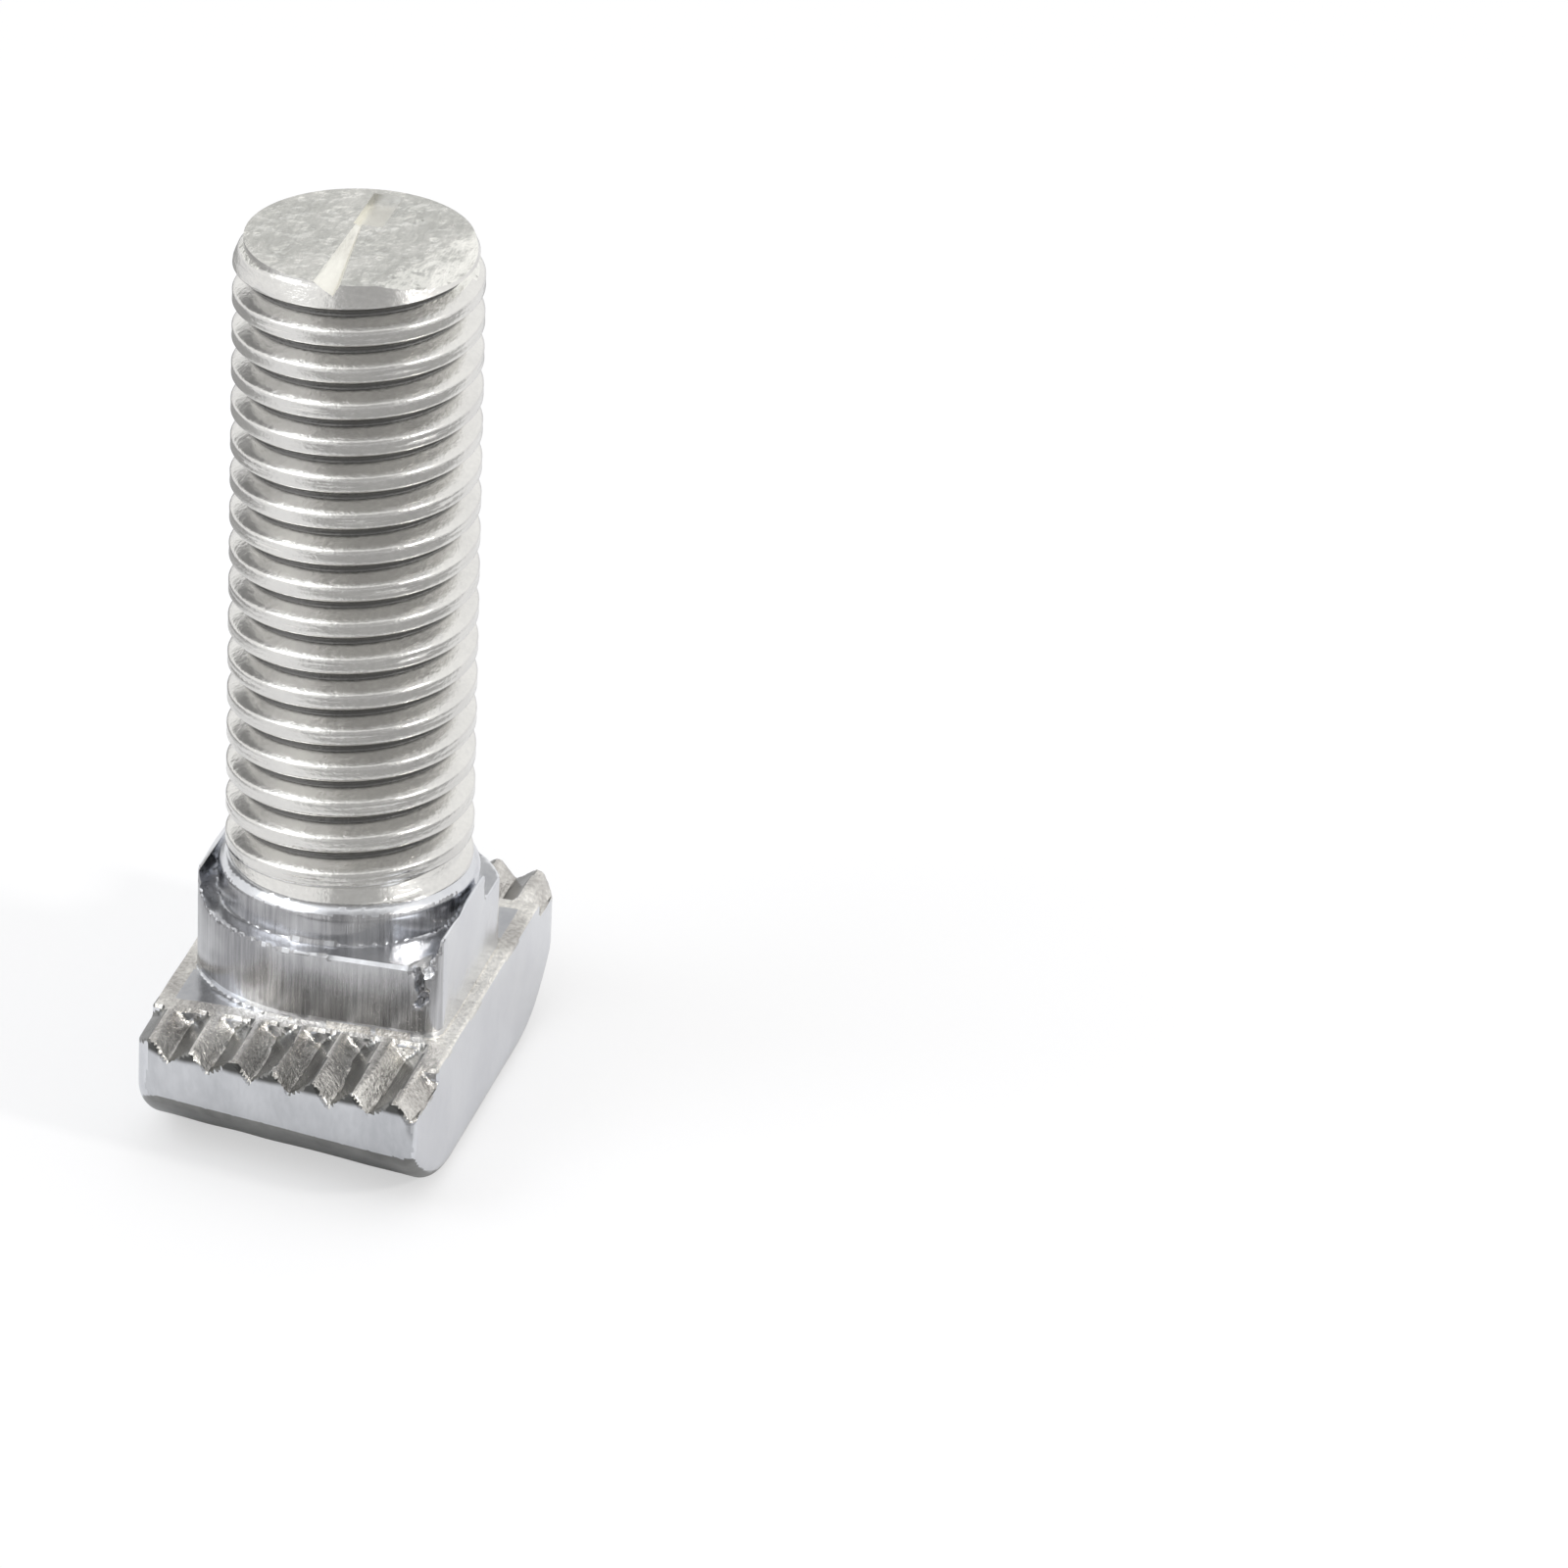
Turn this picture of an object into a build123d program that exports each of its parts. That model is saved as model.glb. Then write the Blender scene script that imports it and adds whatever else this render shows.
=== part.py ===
from build123d import *
from math import cos, floor, radians, sin, tan
import os

# Hammer-head bolt for aluminium profiles with a 10 mm T-slot: M8 x 25, forged and rolled in one piece.
# Millimetres. The origin is the centre of the head's flat bottom, +Z runs up the shank, and the
# head's long axis, which is also the line of the end slot, is X.
#
# The head goes down through the slot's mouth lengthwise and is turned clockwise, seen from the
# shank's end, by a quarter turn. So its end faces are skewed, with rounded blunt corners in front
# and sharp ones behind, which stop the turn. The neck has two quarters rounded about the shank and
# two with square corners, which stop it in the mouth.

# ---- driving dimensions -----------------------------------------------------------------------

# Head: the block that lies across the inside of the slot.
HEAD_LENGTH = 18.8            # X, over the two trailing corners before they are rounded
HEAD_WIDTH = 9.8              # Y, passes through the 10 mm mouth of the slot
HEAD_HEIGHT = 4.2             # from the flat bottom to the seat, the serrated faces under the lips
END_SKEW = 11.3               # the end faces are turned this far, so that the leading corners clear
END_FACE_HEIGHT = 2.1         # upright part of an end face, measured down from the seat
KEEL_LENGTH = 7.4             # flat bottom between the two curved ends
KEEL_ROUND = 0.5              # radius along the two long edges of the keel
TRAILING_CORNER = 0.4         # radius of the sharp (-X, -Y) and (+X, +Y) corners
LEADING_CORNER = 1.0          # radius of the blunt other two

# Serrations: ridges along X on the seat of each wing, which bite into the lips of the slot.
RIDGE_COUNT = 7               # whole ridges across the width
RIDGE_DEPTH = 0.6
RIDGE_CREST = 0.16            # flat left on top of a ridge
RIDGE_GAP = 0.35              # plain strip between the neck and the grooves
RIM_GROOVE_GAP = 1.9          # the same for the half grooves that open onto the long sides

# Neck: the block that fills the mouth of the slot.
NECK_LENGTH = 9.7             # X
NECK_WIDTH = 8.8              # Y
NECK_HEIGHT = 3.4             # from the seat to the top of the two lips along the long sides
NECK_CORNER = 0.6             # radius of the two square corners, which the forging doesn't fill
LIP_WIDTH = 0.12              # flat top of each lip
TROUGH_DEPTH = 0.95           # how far the middle of the neck's top lies below its lips
TROUGH_ROUND = 0.9            # radius between its floor and the lips

# Collar: the plain ring between the neck and the thread.
COLLAR_STEP = 0.22            # how far it stands out beyond the thread
COLLAR_HEIGHT = 1.2           # measured up from the bottom of the trough
COLLAR_FOOT = 0.22            # width and height of the bevel at its foot
COLLAR_TAPER = 0.25           # the top part of that, a cone down to the thread's diameter

# Shank and thread: M8 x 1.25, right-handed, rolled.
BOLT_LENGTH = 25.0            # from the seat to the end of the shank
THREAD_DIAMETER = 7.86        # over the crests, plated
THREAD_PITCH = 1.25
THREAD_CREST = 0.4            # width of the crest
FLANK_DEPTH = 0.35            # depth of the straight flanks, below the crest
FLANK_ANGLE = 30.0            # slope of the straight flanks against the plane across the axis
ROOT_DEPTH = 0.21             # further depth of the rounded root, drawn as two flatter slopes
THREAD_ENTRY = 0.455          # where the groove's middle crosses the +X side, below the end face
THREAD_GAP = 0.2              # plain shank between the collar and the thread
RUNOUT_TURNS = 1.1            # length of the cone in which the groove fades out at the collar
END_CHAMFER = 0.33            # radial width of the lead at the end
END_LEAD = 0.8                # its length along the shank
END_LAND = 0.5                # plain rim under the end face, which the groove leaves

# End slot: shows which way the head lies, seen from outside once the bolt is in the profile.
# The thread rolling has squeezed it: a short pocket on the +X side and a flute that widens
# towards the rim on the -X side are left.
SLOT_WIDTH = 0.95
POCKET_START = 0.9            # X of the pocket's inner end, where the flute begins
POCKET_LENGTH = 2.35
POCKET_DEPTH = 0.4
FLUTE_DEPTH = 0.3             # at the rim
FLUTE_SQUEEZE = 0.2           # width and depth left at the flute's inner end, as a share of the rim's
FLUTE_OFFSET = 0.3            # how far the inner end is pushed towards +Y

# ---- levels and derived sizes -----------------------------------------------------------------

SEAT_Z = HEAD_HEIGHT
LIP_Z = SEAT_Z + NECK_HEIGHT
TROUGH_Z = LIP_Z - TROUGH_DEPTH
COLLAR_TOP_Z = TROUGH_Z + COLLAR_HEIGHT
THREAD_START_Z = COLLAR_TOP_Z + THREAD_GAP
END_Z = SEAT_Z + BOLT_LENGTH

RIDGE_PITCH = HEAD_WIDTH / RIDGE_COUNT

THREAD_RADIUS = THREAD_DIAMETER / 2
COLLAR_RADIUS = THREAD_RADIUS + COLLAR_STEP
KNEE_RADIUS = THREAD_RADIUS - FLANK_DEPTH
ROOT_RADIUS = KNEE_RADIUS - ROOT_DEPTH
MOUTH_HALF = (THREAD_PITCH - THREAD_CREST) / 2
FLANK_SLOPE = tan(radians(FLANK_ANGLE))

# The groove is counted down from the end face to the last turn that clears the collar.
GROOVE_TURNS = floor((END_Z - THREAD_ENTRY - MOUTH_HALF - THREAD_START_Z) / THREAD_PITCH)
GROOVE_START_Z = END_Z - THREAD_ENTRY - GROOVE_TURNS * THREAD_PITCH

OVERCUT = 0.08                # how far the cutting tools reach past the surfaces they open
TURNS_PER_HELIX = 3           # the thread's path is a chain of helices of this many turns
TURNS_PAST_END = 1            # the path runs on past the end face and is cut off there


def serration_groove() -> Sketch:
    """Section of one groove between two ridges, with the middle of its mouth at the origin."""
    mouth_half = (RIDGE_PITCH - RIDGE_CREST) / 2
    spread = mouth_half * OVERCUT / RIDGE_DEPTH
    with BuildSketch() as section:
        with BuildLine():
            Polyline(
                (0, -RIDGE_DEPTH),
                (mouth_half + spread, OVERCUT),
                (-mouth_half - spread, OVERCUT),
                close=True,
            )
        make_face()
    return section.sketch


# ---- head -------------------------------------------------------------------------------------

with BuildPart() as head:
    # Side profile: a boat that stands on its flat keel, drawn across the skewed end faces.
    skew = radians(END_SKEW)
    half_span = HEAD_LENGTH / 2 * cos(skew) - HEAD_WIDTH / 2 * sin(skew)
    half_keel = KEEL_LENGTH / 2
    face_bottom = SEAT_Z - END_FACE_HEIGHT
    with BuildSketch(Plane((0, 0, 0), x_dir=(cos(skew), -sin(skew), 0), z_dir=(-sin(skew), -cos(skew), 0))):
        with BuildLine():
            Line((-half_keel, 0), (half_keel, 0))
            TangentArc((half_keel, 0), (half_span, face_bottom), tangent=(1, 0))
            Polyline(
                (half_span, face_bottom),
                (half_span, SEAT_Z),
                (-half_span, SEAT_Z),
                (-half_span, face_bottom),
            )
            TangentArc((-half_keel, 0), (-half_span, face_bottom), tangent=(-1, 0))
        make_face()
    extrude(amount=HEAD_LENGTH, both=True)
    # Cross-section: straight sides with the keel's long edges blended.
    with BuildSketch(Plane.YZ) as section:
        Rectangle(HEAD_WIDTH, SEAT_Z, align=(Align.CENTER, Align.MIN))
        fillet(section.vertices().group_by(Axis.Y)[0], radius=KEEL_ROUND)
    extrude(amount=HEAD_LENGTH, both=True, mode=Mode.INTERSECT)

    upright = head.edges().filter_by(Axis.Z).sort_by(lambda edge: edge.center().X * edge.center().Y)
    fillet(upright[:2], radius=LEADING_CORNER)
    upright = head.edges().filter_by(Axis.Z).sort_by(lambda edge: edge.center().X * edge.center().Y)
    fillet(upright[-2:], radius=TRAILING_CORNER)

    # The serrations: V-grooves along X between the ridges, and half grooves on the long sides.
    for wing in (-1, 1):
        for lines, gap in ((range(1, RIDGE_COUNT), RIDGE_GAP), ((0, RIDGE_COUNT), RIM_GROOVE_GAP)):
            start = NECK_LENGTH / 2 + gap
            with BuildSketch(Plane.YZ.offset(wing * start)):
                for line in lines:
                    with Locations(((line - RIDGE_COUNT / 2) * RIDGE_PITCH, SEAT_Z)):
                        add(serration_groove())
            extrude(amount=wing * (HEAD_LENGTH / 2 + OVERCUT - start), mode=Mode.SUBTRACT)

# ---- neck -------------------------------------------------------------------------------------

with BuildPart() as neck:
    with BuildSketch(Plane.XY.offset(SEAT_Z)):
        Circle(NECK_LENGTH / 2)
        Rectangle(NECK_LENGTH, NECK_WIDTH, mode=Mode.INTERSECT)
        with Locations((-NECK_LENGTH / 4, -NECK_WIDTH / 4), (NECK_LENGTH / 4, NECK_WIDTH / 4)):
            Rectangle(NECK_LENGTH / 2, NECK_WIDTH / 2)
    extrude(amount=NECK_HEIGHT)
    upright = neck.edges().filter_by(Axis.Z).sort_by(lambda edge: edge.center().X * edge.center().Y)
    fillet(upright[-2:], radius=NECK_CORNER)

    # A trough along X dishes the top and leaves a lip along each long side.
    with BuildSketch(Plane.YZ):
        with Locations((0, LIP_Z)):
            RectangleRounded(NECK_WIDTH - 2 * LIP_WIDTH, 2 * TROUGH_DEPTH, TROUGH_ROUND)
    extrude(amount=NECK_LENGTH, both=True, mode=Mode.SUBTRACT)

# ---- thread groove ----------------------------------------------------------------------------

with BuildPart() as groove:
    groove_turns = GROOVE_TURNS + TURNS_PAST_END
    with BuildLine() as groove_path:
        for first in range(0, groove_turns, TURNS_PER_HELIX):
            turns = min(TURNS_PER_HELIX, groove_turns - first)
            Helix(
                pitch=THREAD_PITCH,
                height=turns * THREAD_PITCH,
                radius=ROOT_RADIUS,
                center=(0, 0, GROOVE_START_Z + first * THREAD_PITCH),
            )
    with BuildSketch(Plane((0, 0, GROOVE_START_Z), x_dir=(1, 0, 0), z_dir=(0, -1, 0))):
        outer_half = MOUTH_HALF + OVERCUT * FLANK_SLOPE
        knee_half = MOUTH_HALF - FLANK_DEPTH * FLANK_SLOPE
        with BuildLine():
            Polyline(
                (THREAD_RADIUS + OVERCUT, outer_half),
                (KNEE_RADIUS, knee_half),
                (ROOT_RADIUS, 0),
                (KNEE_RADIUS, -knee_half),
                (THREAD_RADIUS + OVERCUT, -outer_half),
                close=True,
            )
        make_face()
    sweep(path=groove_path.wire(), is_frenet=True)
    # The cutter stops short of the end face and leaves a plain rim under it.
    split(bisect_by=Plane.XY.offset(END_Z - END_LAND), keep=Keep.BOTTOM)

# ---- bolt -------------------------------------------------------------------------------------

with BuildPart() as bolt:
    # The threaded shank.
    with BuildSketch(Plane.XY.offset(SEAT_Z)):
        Circle(THREAD_RADIUS)
    extrude(amount=END_Z - SEAT_Z)
    add(groove.part, rotation=(0, 0, 0), mode=Mode.SUBTRACT)

    # The groove fades out on a cone above the collar.
    with BuildSketch(Plane.XZ):
        foot_radius = COLLAR_RADIUS + COLLAR_FOOT
        with BuildLine():
            Polyline(
                (0, SEAT_Z),
                (foot_radius, SEAT_Z),
                (foot_radius, TROUGH_Z),
                (COLLAR_RADIUS, TROUGH_Z + COLLAR_FOOT),
                (COLLAR_RADIUS, COLLAR_TOP_Z - COLLAR_TAPER),
                (THREAD_RADIUS, COLLAR_TOP_Z),
                (THREAD_RADIUS, THREAD_START_Z),
                (ROOT_RADIUS, THREAD_START_Z + RUNOUT_TURNS * THREAD_PITCH),
                (0, THREAD_START_Z + RUNOUT_TURNS * THREAD_PITCH),
                close=True,
            )
        make_face()
    revolve(axis=Axis.Z)

    add(neck.part)
    add(head.part)

    # The lead at the end.
    with BuildSketch(Plane.XZ):
        with BuildLine():
            Polyline(
                (0, END_Z),
                (THREAD_RADIUS - END_CHAMFER, END_Z),
                (THREAD_RADIUS, END_Z - END_LEAD),
                (COLLAR_RADIUS, END_Z - END_LEAD),
                (COLLAR_RADIUS, END_Z + OVERCUT),
                (0, END_Z + OVERCUT),
                close=True,
            )
        make_face()
    revolve(axis=Axis.Z, mode=Mode.SUBTRACT)

    # The end slot's pocket on the +X side.
    with BuildSketch(Plane.XY.offset(END_Z + OVERCUT)):
        with Locations((POCKET_START + POCKET_LENGTH / 2, 0)):
            Rectangle(POCKET_LENGTH, SLOT_WIDTH)
    extrude(amount=-(POCKET_DEPTH + OVERCUT), mode=Mode.SUBTRACT)

    # The squeezed flute, a V that grows from the pocket's corner to the rim on the -X side.
    for x, share in ((POCKET_START + OVERCUT, FLUTE_SQUEEZE), (-COLLAR_RADIUS, 1.0)):
        half_width = share * SLOT_WIDTH / 2
        depth = share * FLUTE_DEPTH
        middle = FLUTE_OFFSET if share < 1.0 else 0.0
        with BuildSketch(Plane.YZ.offset(x)):
            with BuildLine():
                Polyline(
                    (middle - half_width, END_Z),
                    (middle, END_Z - depth),
                    (middle + half_width, END_Z),
                    (middle, END_Z + depth),
                    close=True,
                )
            make_face()
    loft(mode=Mode.SUBTRACT)

os.makedirs("parts", exist_ok=True)
bolt.part.label = "t_slot_bolt"
export_step(bolt.part, "parts/t_slot_bolt.step")
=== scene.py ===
"""Hammer-head bolt for T-slot profiles, M8 x 25, bright nickel plating, standing on its head."""

import itertools
import logging
import math
from collections.abc import Sequence
from dataclasses import dataclass, field
from enum import Enum
from typing import NamedTuple

import bpy
import numpy as np
from mathutils import Matrix, Vector


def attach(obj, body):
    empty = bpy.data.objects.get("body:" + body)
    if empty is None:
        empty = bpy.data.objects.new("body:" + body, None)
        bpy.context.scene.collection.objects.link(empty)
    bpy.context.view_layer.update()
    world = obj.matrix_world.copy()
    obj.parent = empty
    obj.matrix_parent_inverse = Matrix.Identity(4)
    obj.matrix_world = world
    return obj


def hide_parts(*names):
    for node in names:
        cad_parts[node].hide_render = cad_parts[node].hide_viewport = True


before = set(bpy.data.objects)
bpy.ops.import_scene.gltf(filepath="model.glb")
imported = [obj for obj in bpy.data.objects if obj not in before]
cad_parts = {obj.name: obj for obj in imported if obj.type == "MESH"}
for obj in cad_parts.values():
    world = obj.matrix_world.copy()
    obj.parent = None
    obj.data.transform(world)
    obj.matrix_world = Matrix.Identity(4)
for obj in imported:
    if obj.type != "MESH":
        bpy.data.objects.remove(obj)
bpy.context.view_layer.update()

Pair = tuple[float, float]
Triple = tuple[float, float, float]
Array = np.ndarray

LOG = logging.getLogger("t_slot_bolt")
MM = 0.001
BODY = "root"
NODE = "t_slot_bolt"

# Sizes that more than one shape uses, in millimetres.
BOLT_END = 29.2
SHANK_RADIUS = 3.93
COLLAR_RADIUS = 4.15
# A signed distance that no body's own reaches.
DEEP_INSIDE = -5.0


# ---- node trees ----


@dataclass(frozen=True)
class Term:
    """An output socket of a node tree that can stand in a sum, a product or a comparison."""

    tree: "Tree"
    socket: bpy.types.NodeSocket

    def math(self, operation: str, *others: "Term | float") -> "Term":
        """Adds one Math node.

        Args:
            operation: The Math node's operation.
            others: The values or terms of its further inputs.

        Returns:
            The node's result.
        """
        inputs = dict(enumerate((self, *others)))
        return self.tree.node("ShaderNodeMath", inputs, {"operation": operation})

    def __add__(self, other: "Term | float") -> "Term":
        """The sum."""
        return self.math("ADD", other)

    def __sub__(self, other: "Term | float") -> "Term":
        """The difference."""
        return self.math("SUBTRACT", other)

    def __rsub__(self, other: float) -> "Term":
        """The difference, with the number first."""
        return (self * -1.0).math("ADD", other)

    def __mul__(self, other: "Term | float") -> "Term":
        """The product."""
        return self.math("MULTIPLY", other)

    def __truediv__(self, other: "Term | float") -> "Term":
        """The quotient."""
        return self.math("DIVIDE", other)

    __radd__ = __add__
    __rmul__ = __mul__

    def fraction(self) -> "Term":
        """What is left over the whole part."""
        return self.math("FRACT")

    def absolute(self) -> "Term":
        """The value without its sign."""
        return self.math("ABSOLUTE")

    def at_least(self, other: "Term | float") -> "Term":
        """The larger of the two."""
        return self.math("MAXIMUM", other)

    def at_most(self, other: "Term | float") -> "Term":
        """The smaller of the two."""
        return self.math("MINIMUM", other)

    def between(self, low: float, high: float) -> "Term":
        """Rises smoothly from 0 at low to 1 at high, or falls if low is the larger one.

        Args:
            low: Where the result is 0.
            high: Where the result is 1.

        Returns:
            The smooth step.
        """
        settings = {"interpolation_type": "SMOOTHSTEP"}
        if low < high:
            return self.tree.node("ShaderNodeMapRange", {0: self, 1: low, 2: high}, settings)
        return 1.0 - self.between(high, low)


@dataclass(frozen=True)
class Tree:
    """Adds nodes to a shader's or a modifier's node tree."""

    tree: bpy.types.NodeTree

    def node(
        self,
        kind: str,
        inputs: "dict[int | str, object] | None" = None,
        settings: "dict[str, object] | None" = None,
        output: "int | str" = 0,
    ) -> Term:
        """Adds a node.

        Args:
            kind: The node's type.
            inputs: Values or terms by socket name or number.
            settings: Its properties, set before its sockets are looked up.
            output: The socket that is handed back.

        Returns:
            The output as a term.
        """
        made = self.tree.nodes.new(kind)
        for name, value in (settings or {}).items():
            setattr(made, name, value)
        for key, value in (inputs or {}).items():
            if isinstance(value, Term):
                self.tree.links.new(value.socket, made.inputs[key])
            else:
                made.inputs[key].default_value = value
        found = made.outputs[output] if len(made.outputs) else None
        return Term(self, found)

    def parts(self, vector: Term) -> "tuple[Term, Term, Term]":
        """Splits a vector.

        Args:
            vector: The vector.

        Returns:
            Its x, y and z.
        """
        made = self.tree.nodes.new("ShaderNodeSeparateXYZ")
        self.tree.links.new(vector.socket, made.inputs[0])
        x, y, z = (Term(self, socket) for socket in made.outputs)
        return x, y, z

    def curve(self, value: Term, points: "Sequence[Pair]") -> Term:
        """Adds a Float Curve with straight pieces between its points.

        Args:
            value: The input, from 0 to 1.
            points: The curve's points, by rising input.

        Returns:
            The curve's height at the value.
        """
        made = self.tree.nodes.new("ShaderNodeFloatCurve")
        line = made.mapping.curves[0]
        while len(line.points) < len(points):
            line.points.new(0.5, 0.5)
        for spot, (x, y) in zip(line.points, points):
            spot.location = (x, y)
            spot.handle_type = "VECTOR"
        made.mapping.update()
        self.tree.links.new(value.socket, made.inputs["Value"])
        return Term(self, made.outputs[0])

    def mixed(
        self,
        share: "Term | float",
        first: "Term | tuple[float, ...]",
        second: "Term | tuple[float, ...]",
    ) -> Term:
        """Mixes two colours.

        Args:
            share: How much of the second colour shows.
            first: A colour or a term.
            second: A colour or a term.

        Returns:
            The mixed colour.
        """
        inputs = {0: share, 6: first, 7: second}
        return self.node("ShaderNodeMix", inputs, {"data_type": "RGBA"}, output=2)

    def noise(self, place: Term, scale: float, detail: float, roughness: float = 0.5) -> Term:
        """Adds a noise texture.

        Args:
            place: The point that it is read at.
            scale: Its features for each metre.
            detail: How many finer octaves it has.
            roughness: How strong they are.

        Returns:
            Values round 0.5.
        """
        inputs = {"Vector": place, "Scale": scale, "Detail": detail, "Roughness": roughness}
        return self.node("ShaderNodeTexNoise", inputs)

    def surface(self, shader: Term) -> None:
        """Makes a shader the material's surface."""
        out = self.tree.nodes.new("ShaderNodeOutputMaterial")
        self.tree.links.new(shader.socket, out.inputs["Surface"])


def bare_material(name: str) -> "tuple[bpy.types.Material, Tree]":
    """Makes a material without nodes.

    Args:
        name: The material's name.

    Returns:
        The material and its empty tree.
    """
    material = bpy.data.materials.new(name)
    material.use_nodes = True
    material.node_tree.nodes.clear()
    return material, Tree(material.node_tree)


# ---- finishes ----


class Surface(Enum):
    """The surfaces of the one forging, in the order of its material slots; some stand for painted light
    and painted shade rather than differently made steel.
    """

    FORGED = 0
    DRAWN_AND_SHADED = 1
    GRAINY = 2
    ROLLED = 3
    SHEARED = 4
    PAINTED_SHADE = 5
    SHADED_HEAD_END = 6
    SLOT_PAINTED_LIGHT = 7


# Leaves of a point only what lies across the axis.
LEVEL = (1.0, 1.0, 0.0)
# Near-black painted shade for the thread's roots and for the top of the head's end faces.
ROOT_SHADE_BLACK = (0.03, 0.03, 0.03, 1.0)
BROW_SHADE_BLACK = (0.04, 0.04, 0.035, 1.0)


@dataclass(frozen=True)
class Plating:
    """Bright nickel over one kind of steel surface.

    The lengths are in millimetres. Noise scales are in features for each millimetre. A pair of
    levels is where a pattern starts and where it is in full. Some finishes also paint shade into
    the colour: in the thread's roots near the axis, and along the top of the head's end faces.
    """

    name: str
    tint: Triple
    shade: Triple
    roughness: float
    spread: float
    grain: Triple
    grain_height: float
    swell: float
    swell_height: float
    pits: float = 0.0
    pit_height: float = 0.0
    pit_wall: Pair = (0.05, 0.3)
    cloud: float = 0.35
    cloud_levels: Pair = (0.35, 0.65)
    cloud_share: float = 0.6
    grain_levels: Pair = (0.3, 0.7)
    # Painted shade in the thread's roots: the radius inside which it darkens, its fade and its share.
    root_shade_radius: float = 0.0
    root_shade_fade: float = 0.14
    root_shade_share: float = 0.85
    # Painted shade along the top of the head's end faces, where the ridges end: its height, fade, waver
    # and share.
    brow_shade_height: float = 0.0
    brow_shade_fade: float = 0.1
    brow_shade_waver: float = 0.5
    brow_shade_share: float = 0.9

    def build(self) -> bpy.types.Material:
        """Makes the material.

        Returns:
            A metallic material that reads Object coordinates only.
        """
        material = bpy.data.materials.new(self.name)
        material.use_nodes = True
        tree = Tree(material.node_tree)
        shader = material.node_tree.nodes["Principled BSDF"]
        shader.inputs["Metallic"].default_value = 1.0

        place = tree.node("ShaderNodeTexCoord", output="Object")
        per_metre = Vector(self.grain) / MM
        stretched = tree.node("ShaderNodeMapping", {"Vector": place, "Scale": per_metre})
        grain = tree.noise(stretched, scale=1.0, detail=4.0, roughness=0.6)
        swell = tree.noise(place, self.swell / MM, detail=2.0)
        height = grain * self.grain_height + swell * self.swell_height
        if self.pit_height:
            cells = tree.node("ShaderNodeTexVoronoi", {"Vector": place, "Scale": self.pits / MM})
            height = height + cells.between(*self.pit_wall) * self.pit_height
        bump = tree.node("ShaderNodeBump", {"Strength": 1.0, "Distance": MM, "Height": height})

        cloud = tree.noise(place, self.cloud / MM, detail=3.0)
        clouded = cloud.between(*self.cloud_levels) * self.cloud_share
        mottle = clouded + grain.between(*self.grain_levels) * (1.0 - self.cloud_share)
        colour = tree.mixed(mottle, (*self.shade, 1.0), (*self.tint, 1.0))
        # Paints shade into the roots and along the brow, where this finish has it.
        colour = self.with_painted_shade(tree, place, cloud, colour)
        rough = self.roughness + (grain - 0.5) * self.spread
        links = material.node_tree.links
        links.new(colour.socket, shader.inputs["Base Color"])
        links.new(rough.socket, shader.inputs["Roughness"])
        links.new(bump.socket, shader.inputs["Normal"])
        return material

    def with_painted_shade(self, tree: Tree, place: Term, cloud: Term, colour: Term) -> Term:
        """Paints shade into the thread's roots near the shank's axis, and along the brow above a
        wavering height.

        Args:
            tree: The material's tree.
            place: The point on the bolt.
            cloud: The slow pattern that the height wavers with.
            colour: The colour elsewhere.

        Returns:
            The colour with the painted shade that this finish has.
        """
        # Painted shade: the thread's roots near the axis turn near-black.
        if self.root_shade_radius:
            level = tree.node("ShaderNodeVectorMath", {0: place, 1: LEVEL}, {"operation": "MULTIPLY"})
            away = tree.node("ShaderNodeVectorMath", {0: level}, {"operation": "LENGTH"}, "Value")
            deep = away.between(self.root_shade_radius * MM, (self.root_shade_radius - self.root_shade_fade) * MM)
            colour = tree.mixed(deep * self.root_shade_share, colour, ROOT_SHADE_BLACK)
        # Painted shade: a near-black band along the top of the head's end faces, where the ridges end.
        if self.brow_shade_height:
            height = tree.parts(place)[2] + (cloud - 0.5) * (self.brow_shade_waver * MM)
            low, high = self.brow_shade_height - self.brow_shade_fade, self.brow_shade_height + self.brow_shade_fade
            brow_shade = height.between(low * MM, high * MM)
            colour = tree.mixed(brow_shade * self.brow_shade_share, colour, BROW_SHADE_BLACK)
        return colour


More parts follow.
